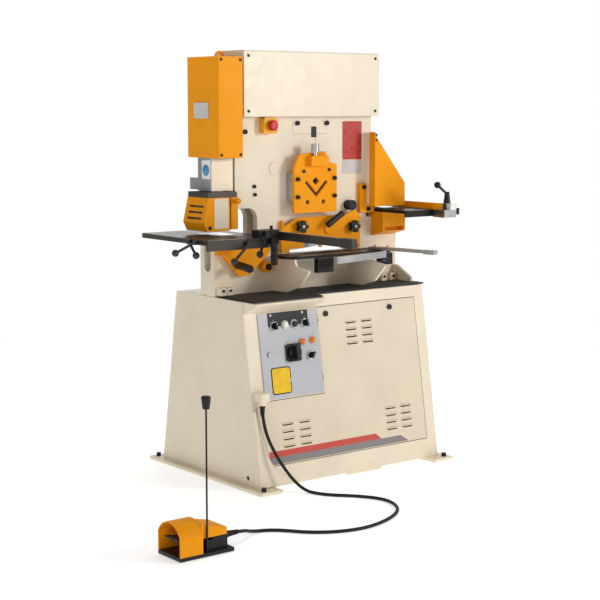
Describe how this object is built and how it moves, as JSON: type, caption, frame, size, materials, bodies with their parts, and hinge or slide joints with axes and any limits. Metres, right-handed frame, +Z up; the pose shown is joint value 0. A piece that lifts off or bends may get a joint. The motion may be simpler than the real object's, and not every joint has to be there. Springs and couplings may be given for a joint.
{
  "type": "hydraulic ironworker machine",
  "caption": "Twin-plate metalworking machine on a sloping cabinet with punching, angle, flat and notching stations, control panel, gauges and a corded foot switch",
  "frame": {"origin": "On the floor at the centre of the four anchor holes in the cabinet's foot plates", "axes": "+X to the operator's right, -Y towards the operator, +Z up"},
  "size_m": [1.743, 1.292, 1.6],
  "materials": {
    "cream_paint": "satin",
    "yellow_paint": "satin",
    "grey_panel": "satin",
    "bright_steel": "ground",
    "dark_steel": "blackened",
    "black_plastic": "moulded",
    "white_plastic": "moulded",
    "red_plastic": "moulded",
    "yellow_plastic": "moulded",
    "amber_lens": "clear lens",
    "black_rubber": "ribbed",
    "cord_rubber": "smooth",
    "cast_grey": "painted grey"
  },
  "bodies": {
    "machine": {"cabinet_shell": "cream_paint", "service_door": "cream_paint", "control_gear": "grey_panel", "cabinet_mat": "black_rubber", "frame_plate_front": "cream_paint", "frame_plate_rear": "cream_paint", "frame_spacers": "cream_paint", "fixing_screws": "dark_steel", "frame_cover": "cream_paint", "cylinder_cover": "yellow_paint", "punch_head": "bright_steel", "stripper": "dark_steel", "punch_table": "dark_steel", "die_block": "bright_steel", "punch_hood": "yellow_paint", "lower_guard": "yellow_paint", "hand_grips": "black_plastic", "angle_shear_plate": "yellow_paint", "angle_shear_block": "bright_steel", "flat_shear_guard": "yellow_paint", "shear_table": "dark_steel", "table_supports": "cream_paint", "fixed_blades": "bright_steel", "pivot_pin": "dark_steel", "notch_guard": "yellow_paint", "notch_housing": "cream_paint", "notch_table": "dark_steel", "notch_bracket": "yellow_paint", "estop_base": "yellow_plastic", "power_pack": "cast_grey", "cord_gland": "cream_paint", "foot_cord": "cord_rubber", "foot_switch_base": "black_plastic", "foot_switch_guard": "yellow_plastic", "carry_rod": "black_plastic"},
    "control_door": {"control_panel": "grey_panel", "panel_lamps": "amber_lens"},
    "button_white": {"button_white": "white_plastic"},
    "button_dark": {"button_dark": "black_plastic"},
    "selector_left": {"selector_left": "black_plastic"},
    "selector_right": {"selector_right": "black_plastic"},
    "selector_small": {"selector_small": "black_plastic"},
    "main_switch": {"main_switch": "black_plastic"},
    "door_lock_left": {"door_lock_left": "black_plastic"},
    "door_lock_right": {"door_lock_right": "black_plastic"},
    "beam": {"beam": "cast_grey", "moving_blades": "bright_steel"},
    "punch_ram": {"punch_ram": "bright_steel"},
    "notch_slide": {"notch_slide": "bright_steel"},
    "gauge": {"gauge_block": "dark_steel", "gauge_bar": "bright_steel"},
    "gauge_lever": {"gauge_lever": "black_plastic"},
    "hold_down_screw": {"hold_down_screw": "bright_steel"},
    "star_knob_left": {"star_knob_left": "black_plastic"},
    "star_knob_right": {"star_knob_right": "black_plastic"},
    "mitre_gauge": {"mitre_gauge": "bright_steel"},
    "notch_fence": {"notch_fence": "bright_steel"},
    "notch_lever": {"notch_lever": "black_plastic"},
    "estop_mushroom": {"estop_mushroom": "red_plastic"},
    "foot_pedal": {"foot_pedal": "dark_steel"}
  },
  "joints": [
    {"name": "beam_pivot", "type": "hinge", "parent": "machine", "child": "beam", "pos_m": [-0.162, 0.006, 1.159], "axis": [0, 1, 0], "range_deg": [-5.5, 6]},
    {"name": "ram_slide", "type": "slide", "parent": "machine", "child": "punch_ram", "axis": [0, 0, 1], "range_m": [-0.0232, 0.0253]},
    {"name": "notch_slide", "type": "slide", "parent": "machine", "child": "notch_slide", "axis": [0, 0, 1], "range_m": [-0.0542, 0.0497]},
    {"name": "control_door_hinge", "type": "hinge", "parent": "machine", "child": "control_door", "pos_m": [-0.103, -0.2519, 0.48688], "axis": [0, 0.1563, 0.9877], "range_deg": [0, 100]},
    {"name": "button_white_press", "type": "slide", "parent": "control_door", "child": "button_white", "axis": [0, -0.9877, 0.1563], "range_m": [-0.004, 0], "stiffness_N_per_m": 250, "springref_m": 0.002},
    {"name": "button_dark_press", "type": "slide", "parent": "control_door", "child": "button_dark", "axis": [0, -0.9877, 0.1563], "range_m": [-0.004, 0], "stiffness_N_per_m": 250, "springref_m": 0.002},
    {"name": "selector_left_turn", "type": "hinge", "parent": "control_door", "child": "selector_left", "pos_m": [-0.314, -0.23532, 0.59158], "axis": [0, -0.9877, 0.1563], "range_deg": [-45, 45]},
    {"name": "selector_right_turn", "type": "hinge", "parent": "control_door", "child": "selector_right", "pos_m": [-0.169, -0.23532, 0.59158], "axis": [0, -0.9877, 0.1563], "range_deg": [-45, 45]},
    {"name": "selector_small_turn", "type": "hinge", "parent": "control_door", "child": "selector_small", "pos_m": [-0.155, -0.25455, 0.47009], "axis": [0, -0.9877, 0.1563], "range_deg": [0, 90]},
    {"name": "main_switch_turn", "type": "hinge", "parent": "control_door", "child": "main_switch", "pos_m": [-0.237, -0.25174, 0.48787], "axis": [0, -0.9877, 0.1563], "range_deg": [-90, 0]},
    {"name": "door_lock_left_turn", "type": "hinge", "parent": "machine", "child": "door_lock_left", "pos_m": [-0.062, -0.22648, 0.61549], "axis": [0, -0.9877, 0.1563], "range_deg": [-90, 0]},
    {"name": "door_lock_right_turn", "type": "hinge", "parent": "machine", "child": "door_lock_right", "pos_m": [0.259, -0.22663, 0.6145], "axis": [0, -0.9877, 0.1563], "range_deg": [-90, 0]},
    {"name": "gauge_slide", "type": "slide", "parent": "machine", "child": "gauge", "axis": [1, 0, 0], "range_m": [-0.06, 0.04]},
    {"name": "gauge_lever_turn", "type": "hinge", "parent": "gauge", "child": "gauge_lever", "pos_m": [-0.372, -0.272, 0.938], "axis": [0, 1, 0], "range_deg": [-30, 60]},
    {"name": "hold_down_turn", "type": "hinge", "parent": "machine", "child": "hold_down_screw", "pos_m": [-0.014, -0.104, 1.22], "axis": [0, 0, 1], "range_deg": [-180, 180]},
    {"name": "star_left_turn", "type": "hinge", "parent": "machine", "child": "star_knob_left", "pos_m": [-0.062, -0.08, 0.936], "axis": [0, 1, 0], "range_deg": [-180, 180]},
    {"name": "star_right_turn", "type": "hinge", "parent": "machine", "child": "star_knob_right", "pos_m": [0.199, -0.08, 0.925], "axis": [0, 1, 0], "range_deg": [-180, 180]},
    {"name": "mitre_swivel", "type": "hinge", "parent": "machine", "child": "mitre_gauge", "pos_m": [0.254, -0.2, 0.82], "axis": [0, 0, 1], "range_deg": [-13, 30]},
    {"name": "fence_slide", "type": "slide", "parent": "machine", "child": "notch_fence", "axis": [1, 0, 0], "range_m": [-0.01, 0.08]},
    {"name": "notch_lever_turn", "type": "hinge", "parent": "notch_fence", "child": "notch_lever", "pos_m": [0.505, -0.29, 1.03], "axis": [0, 0, 1], "range_deg": [-60, 60]},
    {"name": "estop_press", "type": "slide", "parent": "machine", "child": "estop_mushroom", "axis": [0, 1, 0], "range_m": [0, 0.006]},
    {"name": "pedal_press", "type": "hinge", "parent": "machine", "child": "foot_pedal", "pos_m": [-1.014, -0.78, 0.04], "axis": [0, -1, 0], "range_deg": [0, 10], "stiffness_Nm_per_rad": 4, "springref_deg": -11.46}
  ],
  "couplings": [
    {"joint": "ram_slide", "follows": "beam_pivot", "m_per_rad": 0.238},
    {"joint": "notch_slide", "follows": "beam_pivot", "m_per_rad": -0.514}
  ]
}
